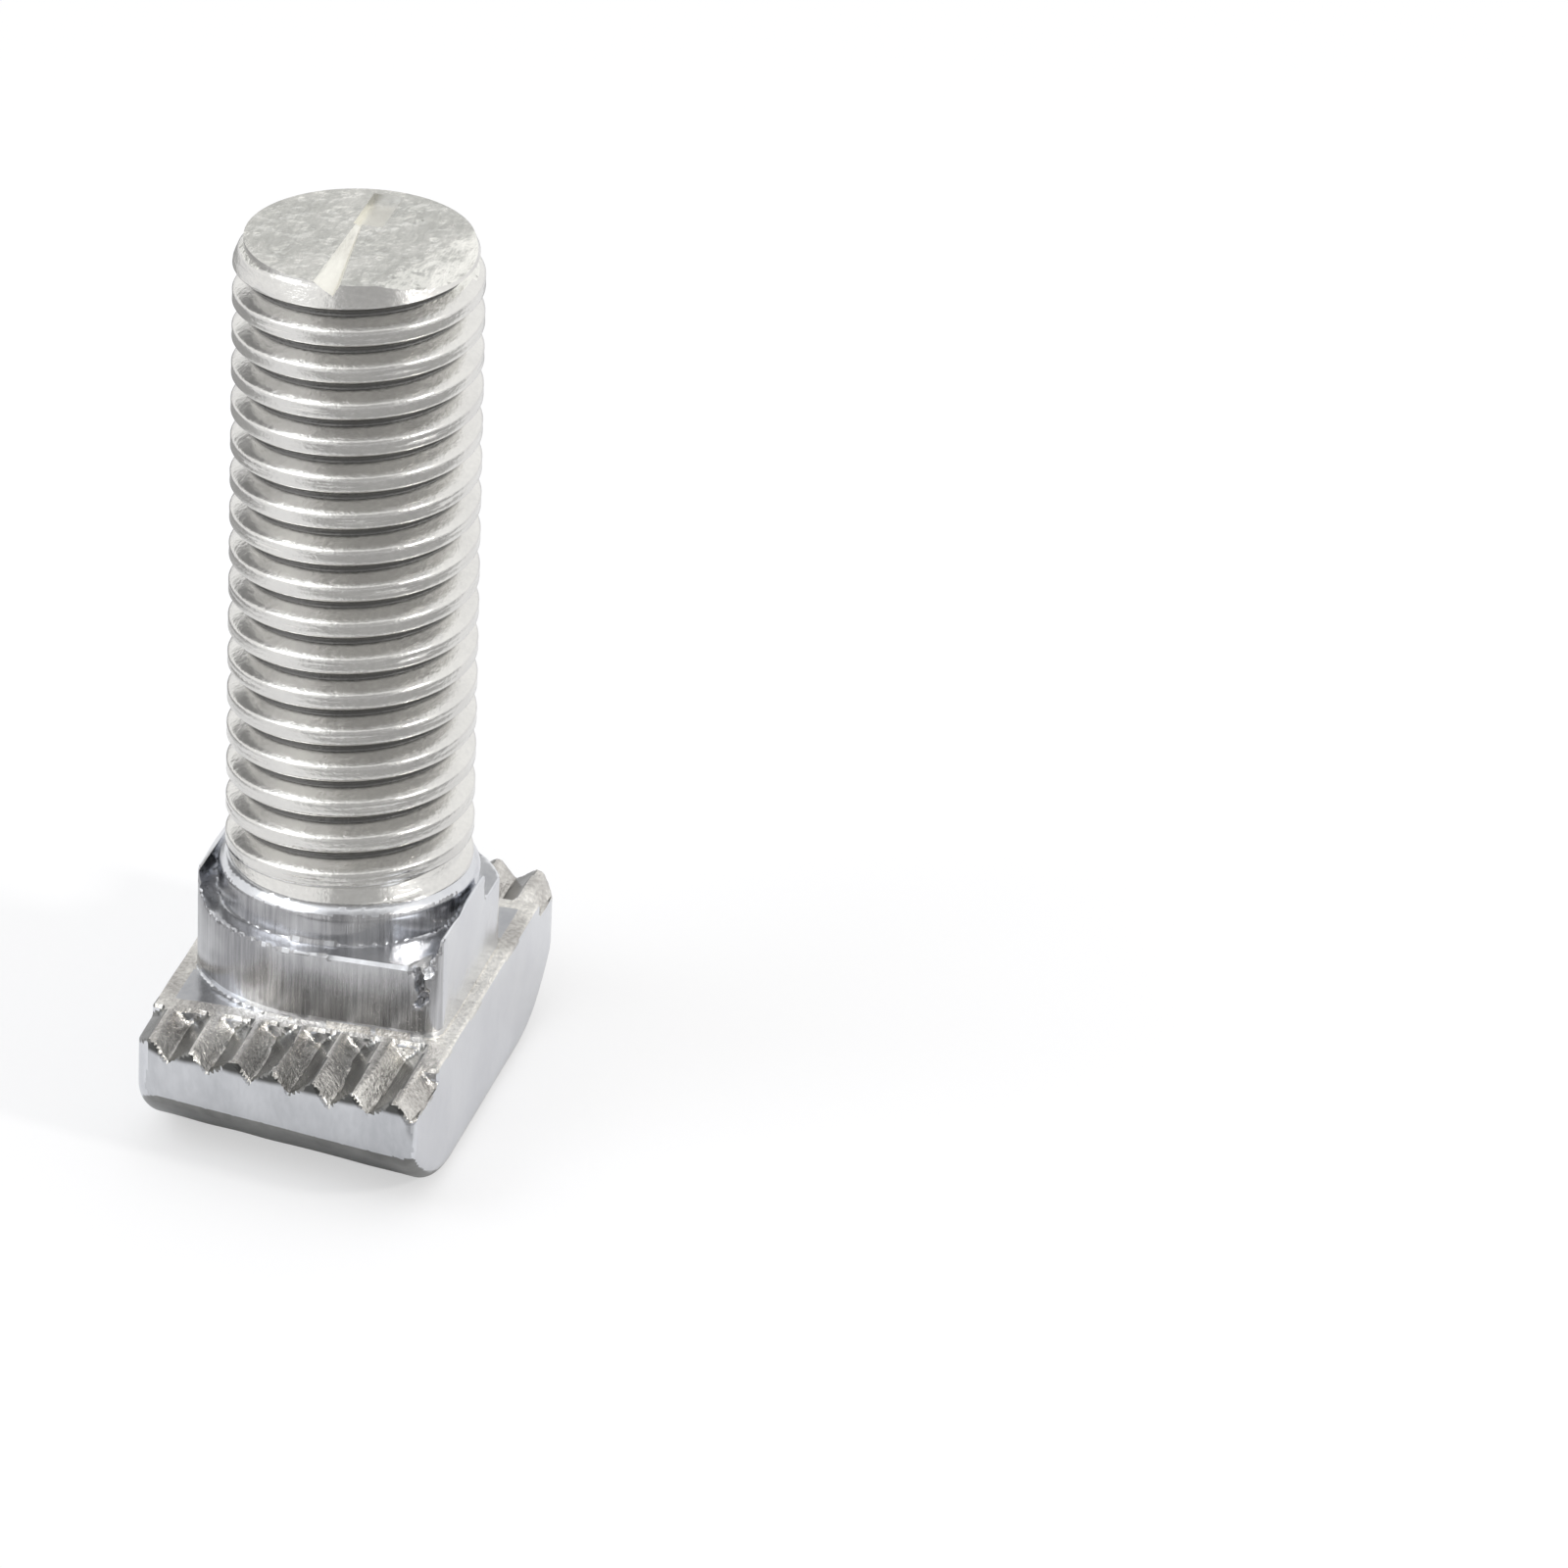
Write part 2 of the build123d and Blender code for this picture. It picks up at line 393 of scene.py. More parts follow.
FINISHES = {
    Surface.FORGED: Plating(
        "forged_flank", (0.74, 0.75, 0.77), (0.64, 0.65, 0.68), roughness=0.2, spread=0.1,
        grain=(3.0, 3.0, 3.0), grain_height=0.003, swell=0.5, swell_height=0.03,
        pits=1.3, pit_height=0.004,
    ),
    # The neck's front and back: the vertical die lines are real, and the dark shade colour is partly
    # painted shade standing in for the dark ridges that the neck's front reflects.
    Surface.DRAWN_AND_SHADED: Plating(
        "die_drawn_neck_and_painted_shade", (0.62, 0.62, 0.63), (0.26, 0.26, 0.27), roughness=0.2, spread=0.15,
        grain=(7.0, 7.0, 0.35), grain_height=0.014, swell=0.4, swell_height=0.03,
    ),
    Surface.GRAINY: Plating(
        "serrated_seat", (0.95, 0.93, 0.88), (0.4, 0.38, 0.36), roughness=0.18, spread=0.2,
        grain=(7.0, 7.0, 7.0), grain_height=0.05, swell=1.2, swell_height=0.03,
    ),
    # The thread's roots get painted shade, near-black within 3.5 mm of the axis.
    Surface.ROLLED: Plating(
        "rolled_thread", (0.78, 0.77, 0.74), (0.68, 0.67, 0.65), roughness=0.17, spread=0.15,
        grain=(5.0, 5.0, 8.0), grain_height=0.018, swell=0.6, swell_height=0.03, root_shade_radius=3.5,
    ),
    Surface.SHEARED: Plating(
        "sheared_end", (0.96, 0.95, 0.9), (0.7, 0.7, 0.66), roughness=0.24, spread=0.2,
        grain=(1.6, 4.0, 1.6), grain_height=0.05, swell=0.9, swell_height=0.16,
        pits=1.6, pit_height=0.03,
    ),
    # Painted shade: smooth pressed steel coloured dark, on the ridge flanks facing +y, the
    # downward-facing underside and the slot's back wall.
    Surface.PAINTED_SHADE: Plating(
        "pressed_painted_shade", (0.27, 0.27, 0.26), (0.15, 0.15, 0.145), roughness=0.25, spread=0.1,
        grain=(2.0, 2.0, 2.0), grain_height=0.004, swell=0.6, swell_height=0.02,
    ),
    # The head's end faces, with painted shade along their top where the ridges end.
    Surface.SHADED_HEAD_END: Plating(
        "forged_end_face", (0.62, 0.63, 0.65), (0.48, 0.49, 0.51), roughness=0.22, spread=0.1,
        grain=(2.0, 5.0, 2.0), grain_height=0.005, swell=0.5, swell_height=0.04, brow_shade_height=3.82,
    ),
    # Painted light: the slot's pocket and flute coloured pale cream.
    Surface.SLOT_PAINTED_LIGHT: Plating(
        "slot_painted_light", (0.96, 0.95, 0.88), (0.86, 0.84, 0.77), roughness=0.34, spread=0.1,
        grain=(2.5, 5.0, 2.5), grain_height=0.03, swell=0.9, swell_height=0.06,
    ),
}


# ---- shapes ----


def round_and(first: Array, second: Array, radius: "float | Array") -> Array:
    """What lies in both bodies, with the edge where they meet rounded over.

    Args:
        first: Signed distances, negative inside.
        second: The same of the other body.
        radius: The edge's radius.

    Returns:
        The signed distances of the common body.
    """
    corner = np.hypot(np.maximum(first + radius, 0), np.maximum(second + radius, 0))
    return np.minimum(np.maximum(first, second), -radius) + corner


def round_or(first: Array, second: Array, radius: float) -> Array:
    """Both bodies together, with a fillet where they meet."""
    return -round_and(-first, -second, radius)


class Points(NamedTuple):
    """Points by how far they lie along the head, across it and up the shank. Millimetres."""

    x: Array
    y: Array
    z: Array


@dataclass(frozen=True)
class Ripple:
    """Smooth random unevenness, the same on each run. Millimetres."""

    height: float
    length: float
    seed: int
    waves: int = 9

    def at(self, points: Points, share: "float | Array" = 1.0) -> Array:
        """The unevenness at points.

        Args:
            points: The points.
            share: How much of the height is left there.

        Returns:
            Values mostly between -height and height.
        """
        draw = np.random.default_rng(self.seed)
        total = 0.0
        for _ in range(self.waves):
            way = draw.normal(size=3)
            way *= 2 * math.pi / self.length / np.linalg.norm(way) * draw.uniform(0.7, 1.4)
            phase = draw.uniform(0, 2 * math.pi)
            total = total + np.sin(points.x * way[0] + points.y * way[1] + points.z * way[2] + phase)
        return self.height * share * (total / math.sqrt(self.waves))


def net_surface(
    values: Array, axes: "tuple[Array, Array, Array]"
) -> "tuple[Array, Array]":
    """Wraps the zero level of a field on a box grid in quads, one corner for each crossed cell.

    Args:
        values: The field, negative inside, on the grid's points.
        axes: The grid's lines along x, y and z.

    Returns:
        The corners and the quads, which face outwards.
    """
    inside = values < 0
    cells = tuple(n + 1 for n in values.shape)
    total = np.zeros((*cells, 3))
    count = np.zeros(cells)
    crossings = []
    for axis in range(3):
        spots = np.argwhere(np.diff(inside, axis=axis))
        here, ahead = tuple(spots.T), tuple((spots + np.eye(3, dtype=int)[axis]).T)
        point = np.stack([axes[i][here[i]] for i in range(3)], axis=1)
        step = axes[axis][ahead[axis]] - axes[axis][here[axis]]
        point[:, axis] += step * values[here] / (values[here] - values[ahead])
        others = [i for i in range(3) if i != axis]
        ring = []
        for one, two in ((0, 0), (1, 0), (1, 1), (0, 1)):
            cell = spots + 1
            cell[:, others[0]] -= one
            cell[:, others[1]] -= two
            ring.append(cell)
            np.add.at(total, tuple(cell.T), point)
            np.add.at(count, tuple(cell.T), 1)
        crossings.append((axis, ring, inside[here]))
    used = count > 0
    number = np.full(cells, -1)
    number[used] = np.arange(used.sum())
    corners = total[used] / count[used][:, None]
    quads = []
    for axis, ring, leaves in crossings:
        quad = np.stack([number[tuple(cell.T)] for cell in ring], axis=1)
        turned = leaves if axis == 1 else ~leaves
        quad[turned] = quad[turned][:, ::-1]
        quads.append(quad)
    return corners, np.concatenate(quads)


def mesh_object(name: str, corners: Array, faces: Array) -> bpy.types.Object:
    """Makes an object from millimetre corners and faces of one size.

    Args:
        name: The object's name.
        corners: The corners.
        faces: The corner numbers of each face.

    Returns:
        The linked object, in metres.
    """
    mesh = bpy.data.meshes.new(name)
    mesh.from_pydata((corners * MM).tolist(), [], faces.tolist())
    mesh.validate()
    made = bpy.data.objects.new(name, mesh)
    bpy.context.scene.collection.objects.link(made)
    return made


def applied(target: bpy.types.Object) -> None:
    """Turns what the object's modifiers show into its plain mesh, and removes them.

    Args:
        target: The object.
    """
    shown = target.evaluated_get(bpy.context.evaluated_depsgraph_get())
    mesh = bpy.data.meshes.new_from_object(shown)
    target.modifiers.clear()
    target.data = mesh


class Joining(Enum):
    """What becomes of a tool's body."""

    ADDED = "UNION"
    CUT_AWAY = "DIFFERENCE"


def combined(target: bpy.types.Object, tool: bpy.types.Object, joining: Joining) -> None:
    """Joins a tool to the target or cuts it away, and deletes the tool.

    Args:
        target: The object that stays.
        tool: The other closed mesh.
        joining: Whether the tool is added or cut away.
    """
    rule = target.modifiers.new("joining", "BOOLEAN")
    rule.operation = joining.value
    rule.solver = "MANIFOLD"
    rule.object = tool
    applied(target)
    bpy.data.objects.remove(tool)


# The faces of a box whose corners run through z, y and x, and of a prism listed end by end.
BOX_FACES = np.array(
    [(0, 1, 3, 2), (4, 6, 7, 5), (0, 4, 5, 1), (2, 3, 7, 6), (0, 2, 6, 4), (1, 5, 7, 3)]
)
PRISM_FACES = np.array(
    [(0, 1, 2, 3), (7, 6, 5, 4), (1, 0, 4, 5), (2, 1, 5, 6), (3, 2, 6, 7), (0, 3, 7, 4)]
)


@dataclass(frozen=True)
class Fault:
    """The ragged hollow and the crack that the die leaves unfilled in a square corner of the neck.

    Places are counted outwards from the neck's end and flank, and upwards from its top.
    """

    hollow_middle: Triple = (0.0, -0.85, -0.45)
    hollow_reach: Triple = (0.5, 0.75, 0.55)
    hollow_scale: float = 0.5
    hollow_edge: float = 0.05
    ragged: Ripple = Ripple(0.16, 0.8, 21)
    crack_flank: float = -0.68
    crack_fall: float = -1.3
    crack_half: float = 1.0
    crack_narrow: float = 2.2
    crack_inset: float = 0.02
    crack_depth: float = 0.3
    crack_scale: float = 1.6
    crack_edge: float = 0.03
    weave: "tuple[Pair, ...]" = ((0.09, 4.1), (0.05, 9.7))

    def cut(self, block: Array, corner: Points, points: Points) -> Array:
        """Takes the hollow and the crack out of a block.

        Args:
            block: The block's signed distances.
            corner: How far the points lie beyond the neck's end, its flank and its top.
            points: The points.

        Returns:
            Negative values inside what is left.
        """
        end, flank, fall = corner
        ways = zip(corner, self.hollow_middle, self.hollow_reach)
        hollow = np.sqrt(sum(((away - middle) / reach) ** 2 for away, middle, reach in ways)) - 1
        weave = sum(height * np.sin(points.z * rate) for height, rate in self.weave)
        aside = np.abs(flank - self.crack_flank + weave) * self.crack_narrow
        crack = np.hypot(aside, np.minimum(end + self.crack_inset, 0.0)) - self.crack_depth
        crack = np.maximum(crack, np.abs(fall - self.crack_fall) - self.crack_half)
        hollow = hollow * self.hollow_scale + self.ragged.at(points)
        block = round_and(block, -hollow, self.hollow_edge)
        return round_and(block, -crack / self.crack_scale, self.crack_edge)


@dataclass
class Forging:
    """The hammer head, the neck and the collar, as they leave the die. Millimetres, z up."""

    head_length: float = 18.8
    head_width: float = 9.8
    seat: float = 4.2
    end_skew: float = 11.3
    end_face: float = 1.8
    keel: float = 7.4
    keel_round: float = 0.5
    sharp_corner: float = 0.4
    blunt_corner: float = 1.0
    edge: float = 0.1
    ridge_count: int = 7
    ridge_depth: float = 0.6
    ridge_crest: float = 0.16
    ridge_gap: float = 0.35
    ridge_edge: float = 0.035
    ridge_lean: float = 0.2
    ridge_wander: Ripple = Ripple(0.05, 3.1, 11)
    ridge_wear: Ripple = Ripple(0.08, 2.3, 12)
    ridge_stretch: float = 0.6
    groove_round: float = 0.03
    groove_ends: Ripple = Ripple(0.06, 0.9, 13)
    groove_end_round: float = 0.12
    rim_groove_gap: float = 1.9
    neck_length: float = 9.7
    neck_width: float = 8.8
    neck_height: float = 3.4
    neck_corner: float = 0.6
    neck_turn_edge: float = 0.1
    neck_edge: float = 0.04
    neck_fault: Fault = Fault()
    lip: float = 0.12
    lip_end: float = 0.3
    lip_worn: Pair = (0.3, 0.1)
    trough_depth: float = 0.95
    trough_round: float = 0.9
    trough_edge: float = 0.05
    collar_radius: float = COLLAR_RADIUS
    collar_height: float = 1.2
    collar_taper: float = 0.25
    collar_edge: float = 0.08
    shank_radius: float = SHANK_RADIUS
    core_height: float = 0.05
    fillet: float = 0.07
    swell: Ripple = Ripple(0.012, 2.6, 31)
    swell_start: float = 0.3
    swell_rise: float = 0.6
    box: Pair = (9.6, 5.1)
    box_gap: float = 0.2
    steps: Triple = (0.19, 0.08, 0.09)
    grid_shift: float = 0.013
    ledge: Pair = (0.25, 0.28)
    tip_length: float = 2.5

    @property
    def neck_top(self) -> float:
        """The height of the neck's top."""
        return self.seat + self.neck_height

    @property
    def collar_top(self) -> float:
        """The height of the collar's top."""
        return self.neck_top - self.trough_depth + self.collar_height

    def head(self, points: Points) -> Array:
        """Signed distances of the block that lies across the slot.

        Args:
            points: The points.

        Returns:
            Negative values inside.
        """
        x, y, z = points
        skew = math.radians(self.end_skew)
        half = self.head_width / 2
        span = self.head_length / 2 * math.cos(skew) - half * math.sin(skew)
        along = np.abs(x * math.cos(skew) - y * math.sin(skew))
        rise = self.seat - self.end_face
        reach = span - self.keel / 2
        bend = (reach**2 + rise**2) / (2 * rise)
        boat = np.hypot(np.maximum(along - self.keel / 2, 0), bend - z) - bend
        corner = np.where(x * y > 0, self.sharp_corner, self.blunt_corner)
        plan = round_and(np.abs(y) - half, along - span, corner)
        body = round_and(boat, plan, self.keel_round)
        body = round_and(body, z - self.seat, self.edge)
        return round_and(body, -self.grooves(points), self.ridge_edge)

    def grooves(self, points: Points) -> Array:
        """Signed distances of the V-grooves between the ridges of both wings.

        Args:
            points: The points.

        Returns:
            Negative values in the grooves.
        """
        x, y, z = points
        level = Points(x, y, z * 0)
        stretched = Points(x * self.ridge_stretch, y, z * 0)
        pitch = self.head_width / self.ridge_count
        line = (y + self.ridge_wander.at(level)) / pitch + self.ridge_count / 2
        signed = ((line + 0.5) % 1 - 0.5) * pitch
        half = (pitch - self.ridge_crest) / 2
        lean = self.ridge_lean * half
        steep, gentle = (signed - lean) * half / (half - lean), (lean - signed) * half / (half + lean)
        off = np.where(signed > lean, steep, gentle)
        slope = self.ridge_depth / half
        worn = 1 + self.ridge_wear.at(stretched)
        floor = self.seat - self.ridge_depth * worn + slope * np.hypot(off, self.groove_round)
        flank = (floor - z) / math.hypot(1, slope)
        rim = np.abs(y) > self.head_width / 2 - pitch / 2
        gap = np.where(rim & (x * y > 0), self.rim_groove_gap, self.ridge_gap)
        start = self.neck_length / 2 + gap - np.abs(x) + self.groove_ends.at(points)
        return round_and(flank, start, self.groove_end_round)

    def neck(self, points: Points) -> Array:
        """Signed distances of the block that fills the slot's mouth.

        Args:
            points: The points.

        Returns:
            Negative values inside.
        """
        x, y, z = points
        end, flank = np.abs(x) - self.neck_length / 2, np.abs(y) - self.neck_width / 2
        turned = round_and(np.hypot(x, y) - self.neck_length / 2, flank, self.neck_turn_edge)
        plan = np.where(x * y > 0, round_and(end, flank, self.neck_corner), turned)
        top = self.neck_top
        block = round_and(plan, z - top, self.neck_edge)
        across = np.abs(y) - (self.neck_width / 2 - self.lip - self.trough_round)
        upward = np.abs(z - top) - (self.trough_depth - self.trough_round)
        trough = np.hypot(np.maximum(across, 0), np.maximum(upward, 0)) - self.trough_round
        trough = trough + np.minimum(np.maximum(across, upward), 0)
        block = round_and(block, -trough, self.trough_edge)
        past = np.where(y < 0, x - self.lip_end, DEEP_INSIDE)
        inner, outer = self.lip_worn
        bare = round_and(np.maximum(top - self.trough_depth - z, -z), -past, inner)
        block = round_and(block, -bare, outer)
        side = np.where(x + y > 0, 1.0, -1.0)
        corner = Points(
            side * x - self.neck_length / 2,
            side * y - self.neck_width / 2,
            z - self.seat - self.neck_height,
        )
        return self.neck_fault.cut(block, corner, points)

    def collar(self, points: Points) -> Array:
        """Signed distances of the plain ring below the thread.

        Args:
            points: The points.

        Returns:
            Negative values inside.
        """
        over = points.z - self.collar_top
        radius = np.hypot(points.x, points.y)
        inset = self.collar_radius - self.shank_radius
        length = math.hypot(inset, self.collar_taper)
        outward, upward = self.collar_taper / length, inset / length
        cone = (radius - self.collar_radius) * outward + (over + self.collar_taper) * upward
        ring = round_and(radius - self.collar_radius, cone, self.collar_edge)
        return np.maximum(ring, over - self.core_height)

    def distance(self, points: Points) -> Array:
        """Signed distances of the whole forging.

        Args:
            points: The points.

        Returns:
            Negative values inside.
        """
        body = round_or(self.head(points), self.neck(points), self.fillet)
        body = round_or(body, self.collar(points), self.fillet)
        resting = np.clip((points.z - self.swell_start) / self.swell_rise, 0, 1)
        return np.maximum(body + self.swell.at(points, resting), -points.z)

    def build(self) -> bpy.types.Object:
        """Makes the forging's mesh.

        Returns:
            The object, with a surface kind for each face.
        """
        top = self.collar_top + self.core_height
        sizes = (*((-half, half) for half in self.box), (-self.box_gap, top + self.box_gap))
        axes = []
        for (low, high), step in zip(sizes, self.steps):
            count = round((high - low) / step) + 1
            axes.append(np.linspace(low, high, count) + step * self.grid_shift)
        grid = np.meshgrid(*axes, indexing="ij")
        corners, quads = net_surface(self.distance(Points(*grid)), tuple(axes))
        corners = self.settled(corners)
        made = mesh_object("bolt_forging", corners, quads)
        self.sort_faces(made.data)
        return made

    def settled(self, corners: Array) -> Array:
        """Moves corners onto the exact surface.

        Args:
            corners: Points near it.

        Returns:
            The moved points.
        """
        small, least_steep, rounds = 1e-4, 0.3, 3
        limit = min(self.steps) * 0.5
        for _ in range(rounds):
            here = self.distance(Points(*corners.T))
            slope = np.empty_like(corners)
            for axis in range(3):
                shifted = corners.copy()
                shifted[:, axis] += small
                slope[:, axis] = (self.distance(Points(*shifted.T)) - here) / small
            steep = np.maximum((slope**2).sum(axis=1), least_steep)
            move = -slope * (here / steep)[:, None]
            size = np.linalg.norm(move, axis=1)
            move *= np.minimum(1, limit / np.maximum(size, 1e-9))[:, None]
            corners = corners + move
        return corners

    def sort_faces(self, mesh: bpy.types.Mesh) -> None:
        """Gives each face the number of its surface kind.

        Args:
            mesh: The forging's mesh, in metres.
        """
        count = len(mesh.polygons)
        centre = np.empty(count * 3)
        normal = np.empty(count * 3)
        mesh.polygons.foreach_get("center", centre)
        mesh.polygons.foreach_get("normal", normal)
        centre, normal = centre.reshape(-1, 3) / MM, normal.reshape(-1, 3)
        (x, y, z), (facing_x, facing_y, facing_z) = centre.T, normal.T
        kind = np.full(count, Surface.FORGED.value)
        below, above = self.ledge
        seat = (z > self.seat - self.ridge_depth - below) & (z < self.seat + above)
        wing = np.abs(x) > self.neck_length / 2 - 0.2
        ledge = np.abs(y) > self.neck_width / 2 - 0.1
        kind[seat & (wing | ledge) & (facing_z > 0.25)] = Surface.GRAINY.value
        # Ridge flanks facing +y: smooth pressed steel, coloured dark as painted shade.
        kind[seat & wing & (facing_y > 0.3) & (facing_z > 0.2)] = Surface.PAINTED_SHADE.value
        # The head's end faces get the material with painted shade along their top.
        tip = (z < self.seat) & (np.abs(x) > self.head_length / 2 - self.tip_length)
        kind[tip & (np.abs(facing_x) > 0.8)] = Surface.SHADED_HEAD_END.value
        # The neck's front and back, whose dark colour is partly painted shade.
        drawn_and_shaded = (z > self.seat + above) & (facing_z < 0.5)
        kind[drawn_and_shaded & (np.abs(facing_x) > 0.3)] = Surface.DRAWN_AND_SHADED.value
        # Painted shade on the downward-facing curved underside.
        shaded_underside = (z < self.seat - self.end_face + 0.3) & (facing_z < -0.4)
        kind[shaded_underside] = Surface.PAINTED_SHADE.value
        for _ in Surface:
            mesh.materials.append(None)
        mesh.polygons.foreach_set("material_index", kind.astype(np.int32))


@dataclass
class Shank:
    """The thread-rolled shank, with its run-out, its lead and its sheared end. Millimetres, z up.

    The form is half a groove: distances from its middle and the depths there. The crease runs along
    the crest. Its points are scaled to 1, and two waves that are multiplied make it come and go.
    """

    foot: float = 5.2
    end: float = BOLT_END
    radius: float = SHANK_RADIUS
    pitch: float = 1.25
    depth: float = 0.56
    entry: float = 0.455
    thread_start: float = 7.5
    runout: float = 1.375
    lead: float = 0.8
    chamfer: float = 0.33
    land: float = 0.5
    columns: int = 120
    end_rings: int = 26
    crease_depth: float = 0.03
    form: "tuple[Pair, ...]" = (
        (0.0, 0.56), (0.08, 0.535), (0.12, 0.475), (0.2, 0.34), (0.28, 0.205),
        (0.355, 0.075), (0.4, 0.028), (0.45, 0.0), (0.585, 0.005), (0.625, 0.006),
    )
    crease: "tuple[Pair, ...]" = ((0.0, 0.0), (0.9, 0.0), (0.96, 0.6), (1.0, 1.0))

    def profile(self) -> "list[Pair]":
        """The thread's depth below its lips, over the distance from the groove's middle.

        Returns:
            Points of a curve whose width and height are both scaled to 1.
        """
        return [(away / (self.pitch / 2), deep / self.depth) for away, deep in self.form]

    def spacing(self) -> "list[float]":
        """The heights of the sheet's rows over one turn, which run along the form's points."""
        rising = [away for away, deep in self.form]
        return rising + [self.pitch - away for away in rising[-2:0:-1]]

    def tree(self) -> bpy.types.NodeTree:
        """Makes the node tree that wraps a sheared sheet round the axis.

        Returns:
            The tree, whose inputs are the shank's sizes in metres.
        """
        group = bpy.data.node_groups.new("rolled_shank", "GeometryNodeTree")
        face = group.interface
        face.new_socket("Geometry", in_out="OUTPUT", socket_type="NodeSocketGeometry")
        for name in self.inputs():
            face.new_socket(name, in_out="INPUT", socket_type="NodeSocketFloat")
        face.new_socket("Material", in_out="INPUT", socket_type="NodeSocketMaterial")
        tree = Tree(group)
        given = group.nodes.new("NodeGroupInput")
        size = {name: Term(tree, given.outputs[name]) for name in self.inputs()}

        turns = math.ceil((self.end - self.foot) / self.pitch) + 2
        levels = self.spacing()
        steps = len(levels)
        helical = turns * steps
        row_count = helical + 2 + self.end_rings
        grid = tree.node(
            "GeometryNodeMeshGrid",
            {"Size X": 1.0, "Size Y": 1.0, "Vertices X": self.columns + 1, "Vertices Y": row_count},
        )
        across, along, _ = tree.parts(tree.node("GeometryNodeInputPosition"))
        turn = across + 0.5
        row = ((along + 0.5) * (row_count - 1)).math("ROUND") - 1.0
        angle = turn * (2 * math.pi)

        whole = (row / steps).math("FLOOR")
        share = (row / steps).fraction() + 0.001 / steps
        rises = [(i / steps, level / self.pitch) for i, level in enumerate([*levels, self.pitch])]
        lifted = tree.curve(share, rises)
        first = self.end - self.entry
        first -= self.pitch * math.ceil((first - self.foot) / self.pitch + 1)
        climb = (whole + lifted + turn) * size["Pitch"] + first * MM
        z = climb.at_least(size["Foot"]).at_most(size["End"])

        groove = (z - (self.end - self.entry) * MM) / size["Pitch"] - turn
        off = ((groove + 0.5).fraction() - 0.5).absolute() * 2.0
        wave = (angle * 2.0 + z / MM * 1.7).math("SINE") * (angle * 5.0 - z / MM * 0.9).math("SINE")
        crease = tree.curve(off, self.crease) * wave.at_least(0.0) * (self.crease_depth * MM)
        depth = tree.curve(off, self.profile()) * size["Depth"] + crease
        runout = size["Radius"] - (z - size["Thread Start"]) * size["Run-out Slope"]
        lead = size["Radius"] + (size["End"] - size["Lead"] - z) * (self.chamfer / self.lead)
        land = size["Radius"] - self.chamfer * MM + (z - size["End"] + self.land * MM).at_most(0.0) * 3.0
        radius = (size["Radius"] - depth).at_least(runout).at_most(size["Radius"]).at_most(lead)
        radius = radius.at_least(land.at_most(lead))
        inward = ((row - helical) / self.end_rings).at_least(0.0)
        radius = radius * (1.0 - inward) * (row + 1.0).at_most(1.0).at_least(0.0)
        z = z * (row + 1.0).at_most(1.0) + size["Foot"] * (row * -1.0).at_least(0.0)

        x, y = radius * angle.math("COSINE"), radius * angle.math("SINE")
        spot = tree.node("ShaderNodeCombineXYZ", {0: x, 1: y, 2: z})
        wrapped = tree.node("GeometryNodeSetPosition", {"Geometry": grid, "Position": spot})
        welded = tree.node("GeometryNodeMergeByDistance", {"Geometry": wrapped, "Distance": 2e-6})
        real = tree.node("GeometryNodeRealizeInstances", {"Geometry": welded})
        finish = Term(tree, given.outputs["Material"])
        dressed = tree.node("GeometryNodeSetMaterial", {"Geometry": real, "Material": finish})
        out = group.nodes.new("NodeGroupOutput")
        group.links.new(dressed.socket, out.inputs[0])
        return group

    def inputs(self) -> "dict[str, float]":
        """The tree's named inputs.

        Returns:
            Their values by name, lengths in metres.
        """
        return {
            "Foot": self.foot * MM,
            "End": self.end * MM,
            "Radius": self.radius * MM,
            "Pitch": self.pitch * MM,
            "Depth": self.depth * MM,
            "Thread Start": self.thread_start * MM,
            "Run-out Slope": self.depth / self.runout,
            "Lead": self.lead * MM,
        }

    def build(self, finish: bpy.types.Material) -> bpy.types.Object:
        """Makes the shank's mesh.

        Args:
            finish: The thread's material.

        Returns:
            The closed shank.
        """
        made = mesh_object("bolt_shank", np.zeros((0, 3)), np.zeros((0, 3), int))
        group = self.tree()
        rule = made.modifiers.new("rule", "NODES")
        rule.node_group = group
        items = group.interface.items_tree
        known = {item.name: item.identifier for item in items if item.in_out == "INPUT"}
        for name, value in self.inputs().items():
            rule[known[name]] = value
        rule[known["Material"]] = finish
        applied(made)
        return made


